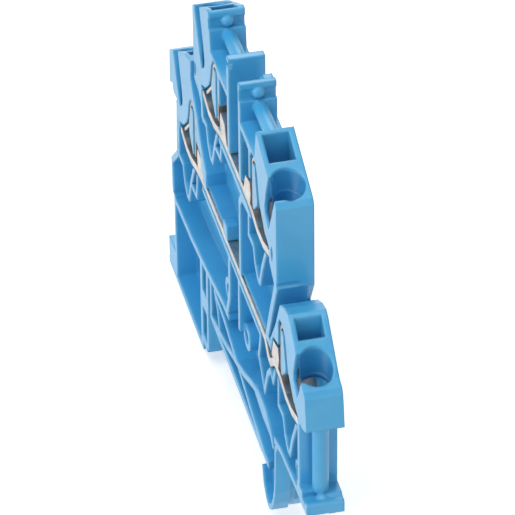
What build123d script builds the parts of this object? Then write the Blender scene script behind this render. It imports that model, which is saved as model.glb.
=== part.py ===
from build123d import *
from math import cos, radians, sin
import os

os.makedirs("parts", exist_ok=True)

# A double-level terminal block for a 35 mm rail. X runs along the block, Y across its
# thickness with the open side at -Y, and Z is up. The origin is the middle of the rail seat.

# Thickness and walls of the moulded housing
pitch = 5.1
web = 2.1
deep_web = 1.2
rib = 1.0
fine_rib = 0.8
heavy_rib = 1.3
slope_back = 0.6
bend_radius = 0.5
boss_drop = 0.6
dent_depth = 0.8

# Where the four clamps sit: one station is the place of the spring above its bar
upper_x = 12.0
upper_z = 38.0
step_x = 15.45
step_z = 16.25

# Current bars
bar_thickness = 1.1
bar_width = 2.7
bar_clearance = 0.1
bar_end_x = 7.4
bowl_depth = 1.2
ledge_thickness = 0.4
ledge_back = 0.25
lug_depth = 1.8
tab_height = 3.1

# Clamp springs
spring_strip = 0.45
spring_width = 3.0
loop_radius = 1.3
loop_x = -0.4
loop_z = 7.3
leg_angle = 18.0
leg_length = 4.3
clamp_length = 4.2
clamp_angle = 48.0
inner_leg_foot = 0.9
core_clearance = 0.35
spring_clearance = 0.15

# Wire funnels and driver slots
bore_radius = 1.9
funnel_tilt = 10.8
funnel_y = -0.25
funnel_foot_x = 7.4
funnel_foot_z = 1.0
throat_rim = 0.15
mouth_half_x = 3.1
mouth_half_y = 2.75
mouth_height = 13.5
slot_width = 3.6
slot_y = -0.1
passage_wall = 0.5
slot_floor = 4.9
slot_top = 17.0

# Marker channels: the posts that markers clip on, and the lips with their grooves and balls
post_radius = 1.0
post_y = 0.2
ball_radius = 0.97
ball_y = 0.1
post_drop = 1.1
groove_width = 1.6
groove_depth = 0.9
upper_groove_depth = 0.75
bead_width = 0.9
bead_back = 0.35
floor_rise = 9.7
ledge_rise = 3.1
centre_wall = 1.2
centre_half_gap = 2.75
marker_recess_x = 36.4
recess_floor_z = 11.2
recess_post_x = 37.65
recess_post_radius = 1.13
recess_post_y = -0.05
near_groove_x = 37.75
nub_depth = 1.35

# Rail grip
rail_half_width = 17.5
rail_gap = 0.4
hook_height = 1.8
hook_reach = 3.2
foot_leaf = 1.2
foot_depth = 2.2
foot_web = 0.8
seat_half_width = 16.3
seat_rib = 1.2
slot_relief = 0.1

# Places worked out from the sizes above
open_side = -pitch / 2
closed_side = pitch / 2
web_face = closed_side - web
deep_face = closed_side - deep_web
lower_x = upper_x + step_x
lower_z = upper_z - step_z
bar_front = open_side + bar_clearance
bar_back = bar_front + bar_width
spring_front = open_side + spring_clearance
spring_back = spring_front + spring_width
chamber_back = spring_back + spring_clearance
channel_floor = upper_z + floor_rise
ledge_z = channel_floor + ledge_rise
lip_top = ledge_z + groove_width + bead_width
post_z = ledge_z - post_drop
near, far = 1, -1


def outline(points):
    """Closed flat face through points given as (X, Z)."""
    return make_face(Polyline(*points, close=True).edges())


def plate(sketch, y_from=open_side, y_to=closed_side):
    """Solid with a sketch's outline in X and Z, between two values of Y."""
    return extrude(Plane.XZ.offset(-y_to) * sketch, amount=y_to - y_from)


def strip(points, width, radius=0):
    """Flat band of one width along a line of points, its bends rounded where a radius is given."""
    line = FilletPolyline(*points, radius=radius) if radius else Polyline(*points)
    return make_face(offset(line, width / 2, side=Side.BOTH).edges())


def band(points, width):
    """Flat band along a line of points, mitred at its bends and square half a width past its ends."""
    places = [Vector(*point) for point in points]
    ways = [(ahead - place).normalized() for place, ahead in zip(places, places[1:])]
    places[0] -= ways[0] * width / 2
    places[-1] += ways[-1] * width / 2
    left, right = [], []
    for place, way_in, way_out in zip(places, ways[:1] + ways, ways + ways[-1:]):
        bend = way_in + way_out
        mitre = Vector(-bend.Y, bend.X) * (width / 2 / (1 + way_in.dot(way_out)))
        left.append(place + mitre)
        right.append(place - mitre)
    return outline(left + right[::-1])


def ring(x, z, outer, inner):
    """Flat ring."""
    return Pos(x, z) * (Circle(outer) - Circle(inner))


def window(x_from, x_to, z_from, z_to):
    """Flat rectangle between two corners."""
    return Pos((x_from + x_to) / 2, (z_from + z_to) / 2) * Rectangle(x_to - x_from, z_to - z_from)


def at_station(points, side, x, z):
    """Turns (outward, up) points of one clamp station into (X, Z) points of the block."""
    return [(side * (x + out), z + up) for out, up in points]


# Connection blocks: the outline of each solid block round its clamp, outward and up from its station
near_upper_block = [
    (-3.4, 0), (-3.4, 9.7), (0.3, 9.7), (0.6, 11.8), (1.2, 14.3), (11.6, 10.0), (12.2, 9.2),
    (12.2, -2.6), (12.0, -2.7), (12.0, -3.5), (11.0, -3.8), (9.4, -2.6), (8.1, -1.9), (8.1, 0),
]
far_upper_block = [
    (-3.4, 0), (-3.4, 9.7), (1.8, 9.7), (2.2, 12.8), (2.6, 15.4), (3.4, 15.5),
    (13.05, 10.4), (13.05, 3.7), (12.3, -1.4), (9.8, -1.9), (8.1, -1.9), (8.1, 0),
]
near_lower_block = [
    (-7.4, 0), (-7.0, 2.2), (-3.8, 7.1), (-1.5, 11.6), (0.9, 12.8), (3.05, 13.3), (4.2, 12.7),
    (10.1, 7.25), (11.4, 6.8), (12.0, 6.0), (12.8, 1.25), (10.9, 0.3), (8.7, -0.1), (8.1, -0.9), (8.1, 0),
]
far_lower_block = [
    (-9.1, 0), (-9.1, 2.5), (-5.6, 6.2), (-4.2, 8.6), (-1.2, 11.4), (-0.1, 12.8), (-0.4, 16.0),
    (3.9, 14.6), (14.2, 8.9), (14.5, 3.2), (12.6, 4.1), (12.0, 3.0), (9.4, 3.1), (9.2, -0.9), (8.1, -0.9), (8.1, 0),
]

# The four stations: side, place, block outline, driver slot from and to on the top face, and
# the height of the ring where the funnel narrows into the wire bore
stations = {
    "near_upper": (near, upper_x, upper_z, near_upper_block, 1.75, 5.95, 7.2),
    "far_upper": (far, upper_x, upper_z, far_upper_block, 3.1, 6.1, 7.2),
    "near_lower": (near, lower_x, lower_z, near_lower_block, 3.65, 5.95, 4.6),
    "far_lower": (far, lower_x, lower_z, far_lower_block, 2.7, 5.9, 7.0),
}

# Chamber round each clamp spring, open to the open side
chamber_outline = [
    (-7.2, 0), (-5.6, 3.5), (-2.6, 4.3), (-2.6, 8.0), (-1.6, 9.2), (0.4, 9.2), (1.45, 7.8),
    (2.4, 4.9), (3.3, 3.4), (5.6, 1.4), (8.1, 0.4), (8.1, 0),
]

# Passage inside the block from the wire bore to the spring's clamping leg
passage_outline = [(2.4, 4.9), (5.2, 5.2), (6.8, 4.6), (6.8, 1.2), (5.6, 1.2), (3.0, 3.4)]

# Window that each wire funnel opens in the open side
notch_outline = [
    (8.9, 13.5), (7.4, 10.4), (6.4, 8.0), (5.7, 5.6), (6.0, 4.5), (7.2, 3.5), (7.9, 3.3), (8.6, 4.5),
    (9.8, 6.9), (11.3, 9.9), (12.6, 13.5),
]


def funnel(side, x, z, ring_height):
    """Wire entry: a straight bore, and above its ring an oval cone that widens to the mouth."""
    tilt = radians(funnel_tilt)
    up = Vector(side * sin(tilt), 0, cos(tilt))
    across = Vector(cos(tilt), 0, -side * sin(tilt))
    foot = Vector(side * (x + funnel_foot_x), funnel_y, z + funnel_foot_z)
    throat_radius = bore_radius + throat_rim
    base = Plane(foot, x_dir=across, z_dir=up)
    throat = Plane(foot + up * ring_height, x_dir=across, z_dir=up)
    mouth = Plane(foot + up * mouth_height, x_dir=across, z_dir=up)
    bore = extrude(base * Circle(bore_radius), amount=ring_height)
    cone = loft([throat * Ellipse(throat_radius, throat_radius), mouth * Ellipse(mouth_half_x, mouth_half_y)])
    return bore + cone


def driver_slot(side, x, z, slot_from, slot_to):
    """Upright slot for the screwdriver, from the top face down to the spring's sloping leg."""
    corners = at_station([(slot_from, slot_floor), (slot_to, slot_floor), (slot_to, slot_top), (slot_from, slot_top)], side, x, z)
    return plate(outline(corners), slot_y - slot_width / 2, slot_y + slot_width / 2)


def station_core(side, x, z):
    """Plastic core inside the spring, which the driver presses the leg towards."""
    top = loop_radius - spring_strip / 2 - core_clearance
    left = loop_x - top
    core = outline([
        (left, loop_z), (left, 0.7), (left + 0.4, 0.6), (1.35, 2.6), (1.5, 3.4), (loop_x + top, loop_z),
    ])
    core = core + Pos(loop_x, loop_z) * Circle(top)
    if side == far:
        core = mirror(core, Plane.YZ)
    return plate(Pos(side * x, z) * core, open_side, chamber_back)


def spring(side, x, z):
    """Clamp spring: one bent leaf, with an inner leg, a loop and a leg that ends at the wire."""
    lean = radians(leg_angle)
    slope = radians(clamp_angle)
    inner_x = loop_x - loop_radius
    turn = Vector(loop_x + loop_radius * cos(lean), loop_z + loop_radius * sin(lean))
    knee = turn + Vector(sin(lean), -cos(lean)) * leg_length
    tip = knee + Vector(sin(slope), -cos(slope)) * clamp_length
    top = (loop_x, loop_z + loop_radius)
    path = Line((inner_x, inner_leg_foot), (inner_x, loop_z))
    path += ThreePointArc((inner_x, loop_z), top, turn)
    path += FilletPolyline(turn, knee, tip, radius=leg_length / 4)
    leaf = make_face(offset(path, spring_strip / 2, side=Side.BOTH).edges())
    if side == far:
        leaf = mirror(leaf, Plane.YZ)
    return plate(Pos(side * x, z) * leaf, spring_front, spring_back)


def bar_end(side, x, z):
    """Centre line of a bar's bowl under one clamp, from the inner end to the outer end."""
    mid = -bar_thickness / 2
    bowl = mid - bowl_depth
    points = at_station([(-5.0, mid), (-2.5, mid - 0.3), (1.0, bowl), (4.2, bowl), (bar_end_x, mid - 0.3)], side, x, z)
    return points if side == near else points[::-1]


def hook_tab(side, x, z):
    """Raised tab of a bar beside the spring's inner leg."""
    return outline(at_station([(-7.0, -0.4), (-5.9, 2.6), (-3.4, tab_height), (-2.9, 1.6), (-3.4, -0.4)], side, x, z))


def half_ball(x, y, z, slab):
    """Half of a marker ball, the half that lies inside a slab given as (x_from, x_to, z_from, z_to)."""
    return Pos(x, y, z) * Sphere(ball_radius) & plate(window(*slab))


upper_bar_line = bar_end(far, upper_x, upper_z) + bar_end(near, upper_x, upper_z)
dip = [(lower_x - 10.85, lower_z - 0.55), (lower_x - 9.05, lower_z - 2.2), (lower_x - 7.75, lower_z - 2.5), (lower_x - 6.25, lower_z - 1.2)]
lower_bar_line = bar_end(far, lower_x, lower_z) + dip + bar_end(near, lower_x, lower_z)
upper_bar_sketch = strip(upper_bar_line, bar_thickness)
lower_bar_sketch = strip(lower_bar_line, bar_thickness)
for tab_side in (near, far):
    upper_bar_sketch += hook_tab(tab_side, upper_x, upper_z)
    lower_bar_sketch += hook_tab(tab_side, lower_x, lower_z)

# Closed wall of the housing, lower in the middle channel
hook_x = rail_half_width - hook_reach
slot_end_x = rail_half_width + rail_gap
wall_outline = [
    (-12.8, channel_floor), (-centre_half_gap, channel_floor), (-centre_half_gap, upper_z + 6),
    (centre_half_gap, upper_z + 6), (centre_half_gap, channel_floor), (12.3, channel_floor),
    (upper_x + 11.0, upper_z + 8.0), (upper_x + 12.2, upper_z + 6.0), (upper_x + 12.2, upper_z - 3.5),
    (upper_x + 10.0, upper_z - 7.4), (upper_x + 12.2, upper_z - 7.4), (lower_x + 2.55, lower_z + 6.25),
    (marker_recess_x, lower_z), (marker_recess_x, recess_floor_z), (38.8, recess_floor_z),
    (40.3, 9.9), (40.3, 9.0), (24.8, 8.2), (21.6, 6.5), (20.6, 0), (20.0, -4.6), (18.2, -7.0),
    (16.5, -6.2), (15.0, -4.4), (hook_x, -hook_height), (slot_end_x, -hook_height),
    (slot_end_x, slot_relief), (hook_x, slot_relief), (hook_x, 0), (-seat_half_width, 0),
    (-seat_half_width - 0.3, 3.4), (-18.2, 3.4), (-18.6, -hook_height),
    (-16.4, -hook_height - 0.7), (-18.6, -5.6), (-19.0, -7.0), (-20.2, -8.0), (-22.4, -8.2), (-22.6, -9.5), (-45.5, -9.7),
    (-45.5, -5.0), (-41.2, -4.9), (-41.1, 4.0), (-43.0, 11.0), (-41.4, 12.4), (-37.3, 15.4), (-36.7, 23.4),
    (-30.0, 30.0), (-upper_x - 15.2, upper_z), (-upper_x - 13.1, upper_z + 3.7), (-upper_x - 12.0, upper_z + 8.0),
]
housing = plate(outline(wall_outline), web_face, closed_side)

# Ribs on the closed wall, each a line of (X, Z) points and a width
ribs = [
    ([(-12.8, channel_floor - 0.5), (-3.2, channel_floor - 0.5)], rib),
    ([(3.2, channel_floor - 0.5), (12.5, channel_floor - 0.5)], rib),
    ([(-upper_x - 12.3, upper_z - 1.1), (-21.8, upper_z - 1.8), (-20.0, upper_z - 3.0), (-19.5, upper_z - 5.2)], fine_rib),
    ([(8.2, upper_z - 2.0), (4.0, upper_z - 2.4), (2.8, upper_z - 4.0), (2.7, lower_z + 0.5)], rib),
    ([(-9.0, upper_z - 1.7), (9.0, upper_z - 1.7)], rib),
    ([(-20.6, lower_z - 1.6), (14.4, lower_z - 1.6)], fine_rib),
    ([(14.4, 19.6), (13.3, 15.7), (16.5, 12.2), (18.4, 16.4), (20.0, 18.2), (21.5, 17.4), (22.6, 19.8)], fine_rib),
    ([(1.6, 20.2), (1.5, 12.0)], rib),
    ([(-4.3, 20.2), (-4.4, 13.4), (-6.2, 9.0)], rib + 0.1),
    ([(-40.5, 5.0), (-30.0, 5.6), (-19.7, 6.8), (-9.3, 8.6), (-5.6, 8.8)], rib),
    ([(-14.0, 6.8), (-8.0, 6.2), (-4.0, 5.2), (0, 4.4), (4.0, 5.6), (9.0, 7.6), (13.0, 8.9), (16.5, 8.9), (19.2, 7.8), (21.0, 6.2)], rib),
    ([(-16.2, 0.7), (-8.0, 2.3), (0, 4.4), (8.0, 2.4), (16.5, 0.8)], rib),
    ([(-seat_half_width + seat_rib / 2, seat_rib / 2), (hook_x - seat_rib / 2, seat_rib / 2)], seat_rib),
    ([(hook_x - 0.5, seat_rib / 2 + slot_relief), (slot_end_x, seat_rib / 2 + slot_relief)], seat_rib),
    ([(-16.8, 0.6), (-16.8, 6.6)], rib),
    ([(-11.4, 1.8), (-12.2, 4.4), (-14.2, 6.8)], fine_rib),
    ([(22.4, 8.0), (26.0, 8.8), (33.0, 9.3), (36.0, 9.5)], rib),
    ([(marker_recess_x - 0.55, lower_z + 0.1), (marker_recess_x - 0.55, 9.6)], 1.1),
    ([(-37.1, 24.0), (-37.8, 15.0), (-41.8, 11.2), (-41.6, 6.0)], rib),
    ([(-40.5, 5.4), (-40.5, -9.0)], rib),
    ([(-45.2, -9.2), (-23.2, -9.0)], rib),
    ([(-23.05, 5.8), (-23.05, -8.6)], 1.4),
    ([(-19.25, 6.0), (-19.25, -6.6)], foot_leaf),
    ([(-22.5, -7.2), (-20.4, -7.2)], 1.5),
]
for rib_line, rib_width in ribs:
    housing += plate(band(rib_line, rib_width), open_side, web_face)

# Sloping floor between the upper and the lower block, nearly through the thickness
slope_line = [
    (upper_x + 11.5, upper_z - 3.6), (upper_x + 8.9, upper_z - 9.2),
    (lower_x - 9.2, lower_z + 0.9), (lower_x - 7.4, lower_z + 0.9),
]
housing += plate(band(slope_line, heavy_rib), open_side, closed_side - slope_back)

# V-shaped pocket of ribs under each clamp, and the second arm of those on the far side
pocket_line = [(-5.6, 8.4), (-5.7, 3.6), (-3.0, 3.7), (-2.0, 1.2), (-0.6, 0), (0.6, 0), (2.2, 3.8), (4.1, 7.2), (5.4, 8.8)]
pocket_arm = [(2.2, 3.8), (5.9, 4.0), (6.8, 8.6)]
for pocket_x, pocket_z, has_arm in (
    (upper_x + 1.8, upper_z - 9.3, False),
    (lower_x + 2.8, lower_z - 9.5, False),
    (-upper_x - 2.5, upper_z - 8.6, True),
    (-lower_x - 3.5, lower_z - 9.8, True),
):
    housing += plate(Pos(pocket_x, pocket_z) * band(pocket_line, fine_rib), open_side, web_face)
    if has_arm:
        housing += plate(Pos(pocket_x, pocket_z) * band(pocket_arm, fine_rib), open_side, web_face)

# Ring bosses, each (X, Z), outer and inner radius
for boss_x, boss_z, boss_outer, boss_inner in (
    (-7.5, 11.6, 2.1, 1.1), (3.5, 11.6, 2.0, 1.0), (33.0, 11.1, 1.5, 0.7),
    (5.0, upper_z + 7.6, 1.3, 0.6), (-5.0, upper_z + 7.6, 1.3, 0.6),
):
    housing += plate(ring(boss_x, boss_z, boss_outer, boss_inner), open_side + boss_drop, web_face)

# Raised plateaus and the bridge of the flexible foot
housing += plate(outline([(7.0, 6.8), (11.0, 8.9), (16.0, 9.2), (19.8, 7.6), (21.2, 5.6), (14.0, 5.6)]), open_side + 0.3, web_face)
housing += plate(window(-22.6, -19.6, -1.4, 1.6), open_side, web_face)

# Plastic ledges on top of the bars, set back from the bar's edge, and the lug on the lower one
for ledge_from, ledge_to, bar_z in (
    (-20.4, -5.3, lower_z), (3.2, lower_x - 10.85, lower_z),
    (-5.2, -centre_half_gap - 0.2, upper_z), (centre_half_gap + 0.2, 5.2, upper_z),
):
    housing += plate(window(ledge_from, ledge_to, bar_z + bar_clearance, bar_z + bar_clearance + ledge_thickness),
                     bar_front + ledge_back, web_face)
housing += plate(window(-7.5, -5.3, lower_z + bar_clearance, lower_z + 2.45), open_side, open_side + lug_depth)

# Tab at the far end
housing += plate(outline([(-45.5, -5.0), (-40.6, -4.9), (-40.6, -9.5), (-45.5, -9.7)]))

# Near foot: a thin band round its outline, and a floor that is set back
foot_band = [
    (23.8, 8.3), (22.5, 6.6), (22.3, 2.0), (22.0, -1.0), (21.2, -3.4), (20.0, -5.4), (18.4, -6.5), (16.8, -6.0),
    (15.6, -4.6), (14.9, -2.3),
]
foot_floor = [(21.4, 8.0), (22.3, 6.6), (22.1, 2.0), (21.8, -1.0), (21.0, -3.4), (19.8, -5.3), (18.4, -6.4), (17.0, -5.8), (20.0, -4.6), (20.6, 0)]
housing += plate(strip(foot_band, fine_rib, bend_radius), open_side, open_side + foot_depth)
housing += plate(outline(foot_floor), open_side + foot_depth - foot_web, web_face)
housing += plate(outline([(15.0, -4.4), (hook_x + 0.2, -hook_height), (slot_end_x, -hook_height), (20.6, 0), (20.0, -4.6), (18.4, -6.6), (16.6, -6.2)]),
                 open_side + foot_depth - foot_web, web_face)

# Walls beside the middle channel, and the nub behind the near one
for wall_side in (near, far):
    wall_x = wall_side * (centre_half_gap + centre_wall / 2)
    housing += plate(window(wall_x - centre_wall / 2, wall_x + centre_wall / 2, upper_z + 0.2, lip_top))
housing += plate(window(1.0, centre_half_gap + 0.3, upper_z + 5, lip_top - 0.5), closed_side - nub_depth, closed_side)
housing += plate(window(-0.4, 1.0, upper_z + 5, lip_top - 1.7), closed_side - nub_depth, closed_side)

# Lip at the foot of the near recess
near_lip = [
    (marker_recess_x - 1.6, 8.9), (marker_recess_x - 1.6, recess_floor_z), (near_groove_x, recess_floor_z),
    (near_groove_x, recess_floor_z - groove_depth), (near_groove_x + groove_width, recess_floor_z - groove_depth),
    (near_groove_x + groove_width, recess_floor_z - bead_back), (40.1, recess_floor_z - bead_back),
    (40.3, 10.6), (40.3, 9.1), (38.0, 8.9),
]
housing += plate(outline(near_lip))

# Solid connection blocks, then their chambers, passages, funnels, driver slots and cores
for side, x, z, block, slot_from, slot_to, ring_height in stations.values():
    housing += plate(outline(at_station(block, side, x, z)))
for side, x, z, block, slot_from, slot_to, ring_height in stations.values():
    housing -= plate(outline(at_station(chamber_outline, side, x, z)), open_side - 1, chamber_back)
    housing -= plate(outline(at_station(passage_outline, side, x, z)), open_side + passage_wall, chamber_back)
    housing -= plate(outline(at_station(notch_outline, side, x, z)), open_side - 1, funnel_y)
    housing -= funnel(side, x, z, ring_height)
    housing -= driver_slot(side, x, z, slot_from, slot_to)
    housing += station_core(side, x, z)

# Grooves of the two upper lips, with the beads above them set back a little
near_lip_x = centre_half_gap + centre_wall
far_lip_x = -upper_x - 2.2
for lip_x, lip_side, back_x in ((near_lip_x, near, near_lip_x + 1), (far_lip_x, near, far_lip_x + 2)):
    groove_floor = lip_x - lip_side * upper_groove_depth
    housing -= plate(window(groove_floor, back_x, ledge_z, ledge_z + groove_width), open_side - 1, closed_side + 1)
    housing -= plate(window(lip_x - bead_back, back_x, ledge_z, lip_top + 1.5), open_side - 1, closed_side + 1)
    housing += half_ball(groove_floor, ball_y, ledge_z + groove_width / 2 + 0.2, (groove_floor - 0.1, back_x, ledge_z - 0.5, lip_top))
housing -= plate(window(-near_lip_x - 0.1, -centre_half_gap + 0.1, ledge_z + 1.0, ledge_z + 1.9), open_side - 1, open_side + 0.4)

# Marker posts, the post of the near recess, and its ball
for post_from, post_to in ((near_lip_x - 0.3, upper_x + 1.0), (far_lip_x - 0.3, -near_lip_x + 0.3)):
    housing += Pos((post_from + post_to) / 2, post_y, post_z) * Rot(0, 90, 0) * Cylinder(post_radius, post_to - post_from)
recess_post_foot = recess_floor_z + 0.5
recess_post_top = lower_z + 0.6
recess_post = Cylinder(recess_post_radius, recess_post_top - recess_post_foot)
housing += Pos(recess_post_x, recess_post_y, (recess_post_top + recess_post_foot) / 2) * recess_post
housing += Pos(recess_post_x, recess_post_y, recess_post_foot) * Sphere(recess_post_radius)
near_ball_x = near_groove_x + groove_width / 2 + 0.2
near_ball_z = recess_floor_z - groove_depth
housing += half_ball(near_ball_x, recess_post_y, near_ball_z, (near_groove_x - 0.5, 40.3, near_ball_z - 0.1, recess_floor_z + 1))

# Deep pockets at the far end and in the flexible foot
for pocket in ((-39.9, -23.8, -8.4, 4.4), (-22.3, -19.9, -6.4, -1.5), (-22.3, -19.9, 1.7, 5.8)):
    housing -= plate(window(*pocket), web_face - 0.1, deep_face)

# Small oval dents in the faces of the upper blocks
for dent_x in (-upper_x - 11.9, upper_x + 9.6):
    housing -= plate(Pos(dent_x, upper_z + 0.5) * Ellipse(0.5, 1.1), open_side - 1, open_side + dent_depth)

# Seats of the bars
for bar_line in (upper_bar_line, lower_bar_line):
    housing -= plate(strip(bar_line, bar_thickness + 2 * bar_clearance), open_side - 1, bar_back + bar_clearance)

export_step(housing, "parts/housing.step")
export_step(plate(upper_bar_sketch, bar_front, bar_back), "parts/upper_current_bar.step")
export_step(plate(lower_bar_sketch, bar_front, bar_back), "parts/lower_current_bar.step")
for name, (side, x, z, *rest) in stations.items():
    export_step(spring(side, x, z), f"parts/{name}_clamp_spring.step")
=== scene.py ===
# %% [markdown]
# # A double-level terminal block in Blender
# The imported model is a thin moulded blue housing, two plated current bars and four bent steel
# clamp springs. Everything here is in metres and stays where the model says. The lesson sets
# the camera first, then the light, then gives each part its finish and its moulded detail.

# %% Load the fixed frame
import bpy
import math
import numpy as np
from mathutils import Matrix, Vector


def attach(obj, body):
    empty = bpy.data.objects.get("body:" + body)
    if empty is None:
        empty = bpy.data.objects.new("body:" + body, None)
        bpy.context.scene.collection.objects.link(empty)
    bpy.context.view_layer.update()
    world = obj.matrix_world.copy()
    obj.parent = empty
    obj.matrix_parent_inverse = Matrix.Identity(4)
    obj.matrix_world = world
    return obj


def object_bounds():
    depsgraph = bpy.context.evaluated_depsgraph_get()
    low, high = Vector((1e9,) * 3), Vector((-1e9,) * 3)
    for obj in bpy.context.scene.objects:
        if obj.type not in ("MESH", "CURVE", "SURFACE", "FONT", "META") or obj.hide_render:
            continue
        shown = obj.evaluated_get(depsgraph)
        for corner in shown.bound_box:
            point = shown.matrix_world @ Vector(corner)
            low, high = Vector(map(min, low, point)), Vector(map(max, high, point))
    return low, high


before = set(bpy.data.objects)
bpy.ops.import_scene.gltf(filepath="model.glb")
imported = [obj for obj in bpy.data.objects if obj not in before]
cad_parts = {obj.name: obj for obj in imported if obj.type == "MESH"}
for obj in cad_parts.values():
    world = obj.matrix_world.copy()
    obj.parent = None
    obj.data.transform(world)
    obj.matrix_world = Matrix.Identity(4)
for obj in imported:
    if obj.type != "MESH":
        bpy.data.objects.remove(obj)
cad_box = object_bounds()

print("nodes:", sorted(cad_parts))
print("box of the model:", [[round(c * 1000, 2) for c in corner] for corner in cad_box])

# %% [markdown]
# ## The camera
# The photograph was taken with a long lens from above the near end of the block, so the block
# runs away from the eye and looks much shorter than it is. Three angles say where the camera
# looks, and one distance and two small offsets say where it stands. A long lens could also be
# faked with an orthographic camera, but the far end would then be drawn too large.

# %% Place the camera
MM = 0.001
scene = bpy.context.scene
scene.view_settings.view_transform = "Standard"

AZIMUTH = math.radians(12.967)
ELEVATION = math.radians(35.851)
ROLL = math.radians(-0.702)
DISTANCE = 573.0 * MM
SIDE_SHIFT = -0.3187 * MM
RISE_SHIFT = -14.394 * MM
TARGET_HEIGHT = 4.6 * MM
SENSOR_WIDTH = 36
FOCAL_PIXELS = 4101.5
PICTURE_PIXELS = 515
LENS = FOCAL_PIXELS / PICTURE_PIXELS * SENSOR_WIDTH

level_right = Vector((math.sin(AZIMUTH), math.cos(AZIMUTH), 0))
level_forward = Vector((-math.cos(AZIMUTH), math.sin(AZIMUTH), 0))
forward = level_forward * math.cos(ELEVATION) - Vector((0, 0, math.sin(ELEVATION)))
level_up = level_right.cross(forward)
right = level_right * math.cos(ROLL) + level_up * math.sin(ROLL)
up = level_up * math.cos(ROLL) - level_right * math.sin(ROLL)
eye = Vector((0, 0, TARGET_HEIGHT)) - right * SIDE_SHIFT - up * RISE_SHIFT - forward * DISTANCE

camera_data = bpy.data.cameras.new("camera")
camera_data.lens = LENS
camera_data.sensor_width = SENSOR_WIDTH
camera_data.clip_start = 0.01
camera_data.clip_end = 50
camera = bpy.data.objects.new("camera", camera_data)
camera.matrix_world = Matrix.Translation(eye) @ Matrix((right, up, -forward)).transposed().to_4x4()
scene.collection.objects.link(camera)
scene.camera = camera
print("camera at", [round(c * 1000, 1) for c in eye], "mm, lens", round(LENS, 1), "mm")

# %% [markdown]
# ## Light and floor
# The photograph has a white ground and very soft light with no hard shadow. A pale floor carries
# the object's soft shadow, and the world around is white. The lamps are large and far enough to
# give even light: one above, one beside the open side, one low in front of the near end, and one
# behind the far end that keeps the slopes of the roof pale.

# %% Functions for nodes and colours
WHITE = (1, 1, 1, 1)


def add_node(material, kind, inputs=None, links=None, **settings):
    """Adds a node of a kind: its input values by name, its links by input name, its own settings."""
    node = material.node_tree.nodes.new(kind)
    for name, value in settings.items():
        setattr(node, name, value)
    for name, value in (inputs or {}).items():
        node.inputs[name].default_value = value
    for name, source in (links or {}).items():
        material.node_tree.links.new(source, node.inputs[name])
    return node


def colour(hex_value):
    """Turns an sRGB hex value into linear red, green, blue and alpha, channel by channel."""
    channels = np.array([int(hex_value[i:i + 2], 16) for i in (1, 3, 5)]) / 255
    linear = np.where(channels <= 0.04045, channels / 12.92, ((channels + 0.055) / 1.055) ** 2.4)
    return (*linear.tolist(), 1.0)


def new_material(name):
    """Makes an empty node material and its output node."""
    material = bpy.data.materials.new(name)
    material.use_nodes = True
    material.node_tree.nodes.clear()
    return material, add_node(material, "ShaderNodeOutputMaterial")


def colour_ramp(material, factor, stops):
    """Adds a colour ramp with its stops in order, each a place from 0 to 1 and a hex colour."""
    ramp = add_node(material, "ShaderNodeValToRGB", links={"Fac": factor})
    ends = ramp.color_ramp.elements
    for end, (position, tone) in zip((ends[0], ends[1]), (stops[0], stops[-1])):
        end.position = position
        end.color = colour(tone)
    for position, tone in stops[1:-1]:
        ramp.color_ramp.elements.new(position).color = colour(tone)
    return ramp.outputs["Color"]


def mathematics(material, operation, first, second):
    """Adds a math node of two linked values and gives its result."""
    return add_node(material, "ShaderNodeMath", links={0: first, 1: second}, operation=operation).outputs[0]


print("light blue in linear values:", [round(c, 3) for c in colour("#5aa9dc")])

# %% White world
WORLD_LIGHT = 0.30


def looked_at(owner):
    """Gives 1 where the eye, a reflection or something clear looks, and 0 for the light it gives."""
    rays = add_node(owner, "ShaderNodeLightPath").outputs
    seen = mathematics(owner, "MAXIMUM", rays["Is Camera Ray"], rays["Is Glossy Ray"])
    return mathematics(owner, "MAXIMUM", seen, rays["Is Transmission Ray"])


def white_level(owner):
    """Strength of white that is pure where it is looked at, and gives only the world's light."""
    level = {"To Min": WORLD_LIGHT, "To Max": 1.0}
    return add_node(owner, "ShaderNodeMapRange", level, {"Value": looked_at(owner)}).outputs[0]


world = bpy.data.worlds.new("white_world")
world.use_nodes = True
world.node_tree.nodes.clear()
scene.world = world
sky = add_node(world, "ShaderNodeBackground", {"Color": WHITE}, {"Strength": white_level(world)})
add_node(world, "ShaderNodeOutputWorld", links={"Surface": sky.outputs[0]})
print("world strength for diffuse light:", WORLD_LIGHT)

# %% Functions for meshes
def grid_faces(index):
    """Four-sided faces between neighbours of a grid of point numbers, by row and column."""
    return np.stack([index[:-1, :-1], index[1:, :-1], index[1:, 1:], index[:-1, 1:]], axis=-1)


def make_piece(name, points, faces):
    """Makes an object of smooth faces from an array of points and an array of four-sided faces."""
    mesh = bpy.data.meshes.new(name)
    mesh.from_pydata(points.tolist(), [], faces.tolist())
    mesh.polygons.foreach_set("use_smooth", np.ones(len(mesh.polygons), dtype=bool))
    piece = bpy.data.objects.new(name, mesh)
    scene.collection.objects.link(piece)
    return piece


print("faces of a grid of 3 by 3 points:", grid_faces(np.arange(9).reshape(3, 3)).tolist())

# %% Floor
FLOOR_GAP = 0.1 * MM
FLOOR_Z = cad_box[0][2] - FLOOR_GAP
FLOOR_HALF = 2.0
FLOOR_POINTS = 9
FLOOR_GLOW = 0.42
FADE_FROM, FADE_TO = 0.2, 0.6

floor_line = np.linspace(-FLOOR_HALF, FLOOR_HALF, FLOOR_POINTS)
across, along = np.meshgrid(floor_line, floor_line)
floor_points = np.stack([across, along, np.full_like(across, FLOOR_Z)], axis=-1).reshape(-1, 3)
floor_index = np.arange(FLOOR_POINTS ** 2).reshape(FLOOR_POINTS, FLOOR_POINTS)
floor = make_piece("floor", floor_points, grid_faces(floor_index).reshape(-1, 4))

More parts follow.
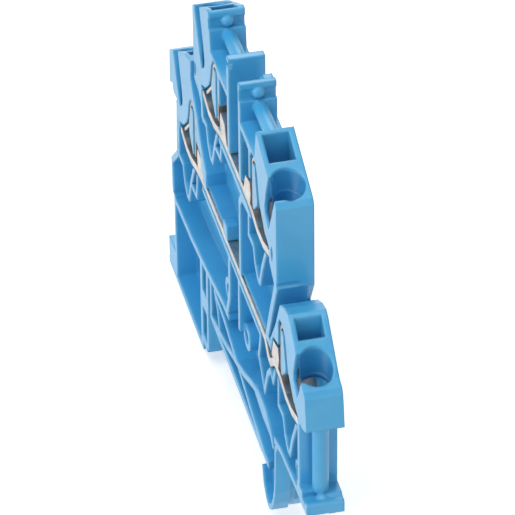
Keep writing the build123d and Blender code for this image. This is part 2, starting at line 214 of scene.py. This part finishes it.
floor_paint, floor_out = new_material("matt_white_card")
card = add_node(floor_paint, "ShaderNodeBsdfDiffuse", {"Color": colour("#f2f2f2")})
glow_level = add_node(floor_paint, "ShaderNodeMath", {1: FLOOR_GLOW}, {0: looked_at(floor_paint)},
                      operation="MULTIPLY")
glow = add_node(floor_paint, "ShaderNodeEmission", {"Color": WHITE}, {"Strength": glow_level.outputs[0]})
both = add_node(floor_paint, "ShaderNodeAddShader", links={0: card.outputs[0], 1: glow.outputs[0]})
# Far from the block the card turns as white as the world, so that no horizon shows in a low view
floor_place = add_node(floor_paint, "ShaderNodeTexCoord").outputs["Object"]
distance = add_node(floor_paint, "ShaderNodeVectorMath", links={0: floor_place}, operation="LENGTH")
far_share = add_node(floor_paint, "ShaderNodeMapRange", {"From Min": FADE_FROM, "From Max": FADE_TO},
                     {"Value": distance.outputs["Value"]}, interpolation_type="SMOOTHSTEP")
far_white = add_node(floor_paint, "ShaderNodeEmission", {"Color": WHITE},
                     {"Strength": white_level(floor_paint)})
faded = add_node(floor_paint, "ShaderNodeMixShader",
                 links={0: far_share.outputs[0], 1: both.outputs[0], 2: far_white.outputs[0]})
floor_paint.node_tree.links.new(faded.outputs[0], floor_out.inputs["Surface"])
floor.data.materials.append(floor_paint)
print("floor at Z", round(FLOOR_Z * 1000, 2), "mm")

# %% Lamps
def lamp(name, place, target, size, power):
    """Square area lamp at a place, turned to a target, with its side and its power in watts."""
    data = bpy.data.lights.new(name, "AREA")
    data.shape = "SQUARE"
    data.size = size
    data.energy = power
    piece = bpy.data.objects.new(name, data)
    piece.location = place
    piece.rotation_euler = (Vector(target) - Vector(place)).to_track_quat("-Z", "Y").to_euler()
    scene.collection.objects.link(piece)
    print(name, "at", place, "power", power, "W")
    return piece


middle = (0, 0, 0.02)
lamp("top_softbox", (0.10, -0.15, 0.80), middle, 0.60, 3.2)
lamp("open_side_softbox", (0.25, -0.75, 0.35), middle, 0.50, 2.8)
lamp("near_end_softbox", (0.80, 0.10, 0.15), middle, 0.50, 1.0)
lamp("far_end_softbox", (-0.75, 0.15, 0.55), middle, 0.50, 2.2)

# %% [markdown]
# ## Blue polyamide
# The housing is polyamide 6.6, injection moulded against a finely eroded steel mould. It has a
# satin gloss, a soft glow at thin ribs because a little light enters it, a faint grain of about
# a third of a millimetre, and slight flow shades of some millimetres. A flat blue would look
# like paint, so the tone, the roughness and the surface height all vary a little.

# %% Polyamide material
FLOW_SIZE = 9 * MM
GRAIN_SIZE = 0.33 * MM
GRAIN_DEPTH = 0.02 * MM
MOULD_RADIUS = 0.45 * MM
LIGHT_REACH = 0.6 * MM


def polyamide(name, pigment, deeper, paler):
    """Moulded blue polyamide with flow shades, satin grain and a little light inside."""
    material, out = new_material(name)
    place = add_node(material, "ShaderNodeTexCoord").outputs["Object"]
    flow = add_node(material, "ShaderNodeTexNoise",
                    {"Scale": 1 / FLOW_SIZE, "Detail": 3.0, "Distortion": 0.6}, {"Vector": place})
    shade = colour_ramp(material, flow.outputs["Fac"], [(0.30, deeper), (0.5, pigment), (0.72, paler)])
    grain = add_node(material, "ShaderNodeTexNoise", {"Scale": 1 / GRAIN_SIZE, "Detail": 2.0},
                     {"Vector": place})
    gloss = add_node(material, "ShaderNodeMapRange", {"To Min": 0.26, "To Max": 0.40},
                     {"Value": grain.outputs["Fac"]})
    round_edges = add_node(material, "ShaderNodeBevel", {"Radius": MOULD_RADIUS}, samples=12)
    bump = add_node(material, "ShaderNodeBump", {"Strength": 0.25, "Distance": GRAIN_DEPTH},
                    {"Height": grain.outputs["Fac"], "Normal": round_edges.outputs[0]})
    body = add_node(material, "ShaderNodeBsdfPrincipled",
                    {"IOR": 1.53, "Subsurface Weight": 0.12, "Subsurface Radius": (0.3, 0.8, 1.2),
                     "Subsurface Scale": LIGHT_REACH},
                    {"Base Color": shade, "Roughness": gloss.outputs[0], "Normal": bump.outputs[0]})
    material.node_tree.links.new(body.outputs[0], out.inputs["Surface"])
    return material


blue_polyamide = polyamide("blue_moulded_polyamide", "#45a5d7", "#3fa0d2", "#4daadb")
print("material:", blue_polyamide.name)

# %% [markdown]
# ## Plated bars and spring steel
# The current bars are stamped from copper strip and tin plated: light warm grey, half dull, with
# fine rolling lines along the strip. The springs are bent from stainless spring strip, a little
# darker, with the same kind of lines. The edges of both are slightly worn and round. Both are
# metals, so all of their colour is in the reflection.

# %% Metal materials
LINE_STRETCH = (0.12, 1.0, 0.12)
PATCH_SIZE = 2.5 * MM
LINE_DEPTH = 0.01 * MM
WORN_RADIUS = 0.07 * MM


def strip_metal(name, tone, darker, gloss_from, gloss_to, line_width):
    """Rolled metal strip: fine lines along it vary its tone and roughness, and worn edges round off."""
    material, out = new_material(name)
    place = add_node(material, "ShaderNodeTexCoord").outputs["Object"]
    stretch = add_node(material, "ShaderNodeMapping", {"Scale": LINE_STRETCH}, {"Vector": place})
    lines = add_node(material, "ShaderNodeTexNoise", {"Scale": 1 / line_width, "Detail": 4.0},
                     {"Vector": stretch.outputs[0]})
    patches = add_node(material, "ShaderNodeTexNoise", {"Scale": 1 / PATCH_SIZE, "Detail": 3.0},
                       {"Vector": place})
    mixed = mathematics(material, "MULTIPLY", lines.outputs["Fac"], patches.outputs["Fac"])
    shade = colour_ramp(material, mixed, [(0.10, darker), (0.34, tone)])
    gloss = add_node(material, "ShaderNodeMapRange", {"To Min": gloss_from, "To Max": gloss_to},
                     {"Value": lines.outputs["Fac"]})
    round_edges = add_node(material, "ShaderNodeBevel", {"Radius": WORN_RADIUS}, samples=6)
    bump = add_node(material, "ShaderNodeBump", {"Strength": 0.25, "Distance": LINE_DEPTH},
                    {"Height": lines.outputs["Fac"], "Normal": round_edges.outputs[0]})
    body = add_node(material, "ShaderNodeBsdfPrincipled", {"Metallic": 1.0},
                    {"Base Color": shade, "Roughness": gloss.outputs[0], "Normal": bump.outputs[0]})
    material.node_tree.links.new(body.outputs[0], out.inputs["Surface"])
    return material


tinned_copper = strip_metal("tin_plated_copper", "#cdc7c2", "#a9a19b", 0.28, 0.44, 0.10 * MM)
spring_steel = strip_metal("rolled_spring_steel", "#c4bfba", "#8f8882", 0.30, 0.46, 0.08 * MM)

for node_name, node_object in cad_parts.items():
    finish = blue_polyamide
    if node_name.endswith("current_bar"):
        finish = tinned_copper
    if node_name.endswith("clamp_spring"):
        finish = spring_steel
    node_object.data.materials.clear()
    node_object.data.materials.append(finish)
    print(node_name, "gets", finish.name)

# %% [markdown]
# ## Wire funnels
# A wire finds its clamp through a funnel: an oval cone that narrows to a ring, and below the ring
# a straight bore. In the steel mould this is one core pin, so the real wall is smooth and runs on
# round the bore without a break. The imported solid shows the cuts of its inner rooms in that wall.
# A boolean could fill them, but a thin lining is simpler: one surface of two parameters, the angle
# round the axis and the height along it, which sinks into the wall near its edges, so that no rim
# shows. The lining is a deeper blue than the block: painted shade for the hollow of the funnel.

# %% Places and sizes of the four funnels, in millimetres
UPPER_X, UPPER_Z = 12.0, 38.0
LOWER_X, LOWER_Z = 27.45, 21.75
FUNNEL_TILT = math.radians(10.8)
FUNNEL_Y = -0.25
FOOT_OUT, FOOT_RISE = 7.4, 1.0
BORE_RADIUS = 1.9
THROAT_RADIUS = 2.05
MOUTH_HALF_X, MOUTH_HALF_Y = 3.1, 2.75
MOUTH_HEIGHT = 13.5
RING_STEP = 0.15
LINING = 0.05
SUNK_DEPTH = 0.05
SINK_WIDTH = 0.9
# The open side is at -2.55, and the lining ends before it by a little more than its sinking
LAST_Y = -2.39

# Side (+1 is the near end), station, ring height, height where the bore ends, and the top face of
# the block as its outline: distance outward and rise, both from the station
NEAR_UPPER_TOP = [(1.2, 14.3), (11.6, 10.0), (12.2, 9.2)]
FAR_UPPER_TOP = [(3.4, 15.5), (13.05, 10.4)]
NEAR_LOWER_TOP = [(3.05, 13.3), (4.2, 12.7), (10.1, 7.25), (11.4, 6.8)]
FAR_LOWER_TOP = [(-0.4, 16.0), (3.9, 14.6), (14.2, 8.9)]
FUNNELS = {
    "near_upper": (1, UPPER_X, UPPER_Z, 7.2, 3.6, NEAR_UPPER_TOP),
    "far_upper": (-1, UPPER_X, UPPER_Z, 7.2, 3.6, FAR_UPPER_TOP),
    "near_lower": (1, LOWER_X, LOWER_Z, 4.6, 3.9, NEAR_LOWER_TOP),
    "far_lower": (-1, LOWER_X, LOWER_Z, 7.0, 3.6, FAR_LOWER_TOP),
}
# The window in the open side: its inner and outer edge, as distances outward, at some rises. Its
# inner edge is never further in than a share of the funnel's half width behind the axis
WINDOW_RISE = [3.3, 4.5, 5.6, 8.0, 10.4, 13.5]
WINDOW_INNER = [7.9, 6.0, 5.7, 6.4, 7.4, 8.9]
WINDOW_OUTER = [7.9, 8.6, 9.15, 10.35, 11.5, 12.6]
BACK_SHARE = 0.55
# Points of a lining round its axis, and from its lower end to its mouth
TURNS, ROWS = 160, 110
print("funnels:", sorted(FUNNELS))

# %% Wall of a funnel
def funnel_wall(angle, height, ring_height, inset):
    """Wall of a funnel at an angle round its tilted axis and a height along it: an ellipse, which
    below the ring is a circle of the bore's radius, and above it has half axes that grow in a
    straight line towards the mouth's. It is moved in by an inset. Gives the distance outward, the
    rise, the depth, and how far out the back edge of the window may lie."""
    above_ring = height - ring_height
    share = np.clip(above_ring / (MOUTH_HEIGHT - ring_height), 0, 1)
    throat = BORE_RADIUS + (THROAT_RADIUS - BORE_RADIUS) * np.clip(above_ring / RING_STEP, 0, 1)
    half_x = throat + (MOUTH_HALF_X - THROAT_RADIUS) * share - inset
    half_y = throat + (MOUTH_HALF_Y - THROAT_RADIUS) * share - inset
    axis_out = FOOT_OUT + height * math.sin(FUNNEL_TILT)
    axis_rise = FOOT_RISE + height * math.cos(FUNNEL_TILT)
    out = axis_out + half_x * np.cos(angle) * math.cos(FUNNEL_TILT)
    rise = axis_rise - half_x * np.cos(angle) * math.sin(FUNNEL_TILT)
    depth = FUNNEL_Y + half_y * np.sin(angle)
    return out, rise, depth, axis_out - BACK_SHARE * half_x


def room_to_edge(out, rise, depth, back_edge, top_face):
    """Distance of a point of the lining to its nearest edge, which lies at the top face, at the
    window or at the open side; it is negative past an edge."""
    below_top = np.interp(out, *np.array(top_face).T) - rise
    inner_edge = np.maximum(np.interp(rise, WINDOW_RISE, WINDOW_INNER), back_edge)
    outer_edge = np.interp(rise, WINDOW_RISE, WINDOW_OUTER)
    at_window = (depth < FUNNEL_Y) & (rise > WINDOW_RISE[0])
    beside_window = np.where(at_window, np.maximum(inner_edge - out, out - outer_edge), SINK_WIDTH)
    return np.minimum(np.minimum(below_top, beside_window), depth - LAST_Y)


print("half widths of a mouth:", MOUTH_HALF_X, "and", MOUTH_HALF_Y, "mm")

# %% Funnel linings
def funnel_lining(name, side, x, z, ring_height, bore_end, top_face):
    """Lining of one funnel, which stands just inside its wall. Near its edges it sinks into the
    wall by a smooth step of its distance to them, and it ends there."""
    round_axis = np.linspace(0, 2 * np.pi, TURNS, endpoint=False)
    angle, height = np.meshgrid(round_axis, np.linspace(bore_end, MOUTH_HEIGHT, ROWS))
    room = room_to_edge(*funnel_wall(angle, height, ring_height, LINING), top_face)
    out_of_wall = np.clip(room / SINK_WIDTH, 0, 1)
    inset = (LINING + SUNK_DEPTH) * out_of_wall * out_of_wall * (3 - 2 * out_of_wall) - SUNK_DEPTH
    out, rise, depth, _ = funnel_wall(angle, height, ring_height, inset)
    points = np.stack([side * (x + out), depth, z + rise], axis=-1).reshape(-1, 3) * MM

    index = np.arange(ROWS * TURNS).reshape(ROWS, TURNS)
    faces = grid_faces(np.concatenate([index, index[:, :1]], axis=1)).reshape(-1, 4)
    faces = faces[(room > 0).ravel()[faces].all(axis=1)]
    used, renumbered = np.unique(faces, return_inverse=True)
    piece = make_piece(name, points[used], renumbered.reshape(-1, 4)[:, ::side])
    wall = piece.modifiers.new("wall", "SOLIDIFY")
    wall.thickness = LINING * MM
    wall.offset = -1
    # The lining takes the deeper blue, which is painted shade of the funnel's hollow
    piece.data.materials.append(funnel_shade_polyamide)
    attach(piece, "block")
    print(name, "has", len(piece.data.polygons), "cells")
    return piece


# The funnel linings are a deeper blue than the block: painted shade inside the hollow of each funnel
funnel_shade_polyamide = polyamide("blue_polyamide_painted_funnel_shade", "#3189c2", "#2a80b8", "#3a92ca")
for station, sizes in FUNNELS.items():
    funnel_lining(station + "_funnel_lining", *sizes)
